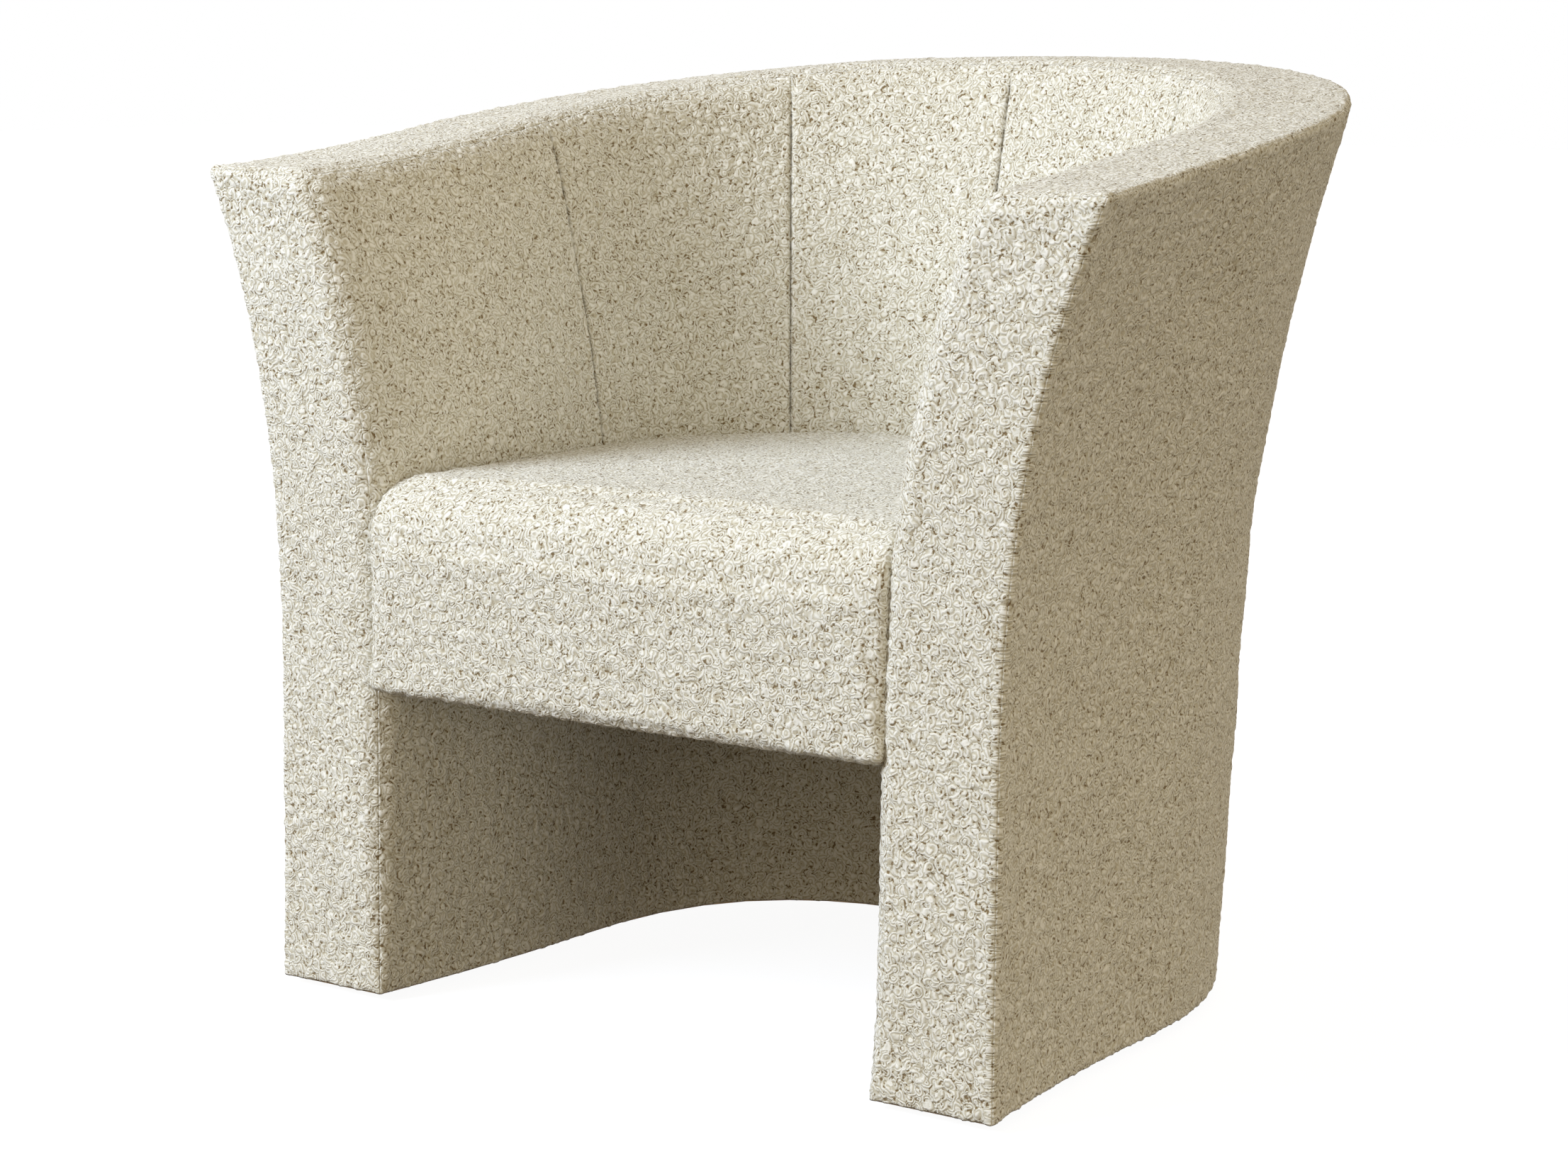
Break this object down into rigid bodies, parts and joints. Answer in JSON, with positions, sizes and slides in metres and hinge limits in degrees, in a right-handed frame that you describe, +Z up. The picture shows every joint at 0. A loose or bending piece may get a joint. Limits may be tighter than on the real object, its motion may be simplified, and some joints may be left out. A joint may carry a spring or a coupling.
{
  "type": "tub armchair",
  "caption": "Tub armchair with a thick U-shaped wall of curly-pile fabric that forms arms, back and legs, around a sprung seat with a deep front apron.",
  "frame": {"origin": "on the floor, under the middle of the chair's bounding box", "axes": "+Z up, the chair faces -Y, X = 0 is its plane of symmetry"},
  "size_m": [0.873, 0.703, 0.778],
  "materials": {
    "curly_pile": "looped cream yarn, matt",
    "dust_cloth": "non-woven, matt",
    "foam": "open-cell polyurethane foam",
    "felt": "needled felt",
    "spring_steel": "drawn wire, oiled",
    "nylon": "moulded",
    "hardboard": "smooth face, bare",
    "beech": "planed, bare",
    "plywood": "birch ply, bare"
  },
  "bodies": {
    "root": {"apron_foam": "foam", "arm_front_cover_left": "curly_pile", "arm_front_cover_right": "curly_pile", "arm_front_foam_left": "foam", "arm_front_foam_right": "foam", "arm_post_left": "plywood", "arm_post_right": "plywood", "arm_rib_left": "plywood", "arm_rib_right": "plywood", "back_foam": "foam", "back_rail": "beech", "back_rib_left": "plywood", "back_rib_middle": "plywood", "back_rib_right": "plywood", "base_plate": "plywood", "corner_block_back_left": "beech", "corner_block_back_right": "beech", "corner_block_front_left": "beech", "corner_block_front_right": "beech", "front_rail": "beech", "glide_left_1": "nylon", "glide_left_2": "nylon", "glide_left_3": "nylon", "glide_right_1": "nylon", "glide_right_2": "nylon", "glide_right_3": "nylon", "inner_skin": "hardboard", "inside_back_panel_1": "curly_pile", "inside_back_panel_2": "curly_pile", "inside_back_panel_3": "curly_pile", "inside_back_panel_4": "curly_pile", "inside_back_panel_5": "curly_pile", "inside_back_panel_6": "curly_pile", "outer_cover": "curly_pile", "outer_foam": "foam", "outer_skin": "hardboard", "rim_cover": "curly_pile", "rim_foam": "foam", "rim_plate": "plywood", "seat_cover": "curly_pile", "seat_deck": "plywood", "seat_dust_cover": "dust_cloth", "seat_foam": "foam", "side_rail_left": "beech", "side_rail_right": "beech", "spring_clip_back_1": "spring_steel", "spring_clip_back_2": "spring_steel", "spring_clip_back_3": "spring_steel", "spring_clip_back_4": "spring_steel", "spring_clip_front_1": "spring_steel", "spring_clip_front_2": "spring_steel", "spring_clip_front_3": "spring_steel", "spring_clip_front_4": "spring_steel", "spring_insulator": "felt", "under_seat_cover": "curly_pile", "under_seat_foam": "foam", "zigzag_spring_1": "spring_steel", "zigzag_spring_2": "spring_steel", "zigzag_spring_3": "spring_steel", "zigzag_spring_4": "spring_steel"}
  },
  "joints": []
}
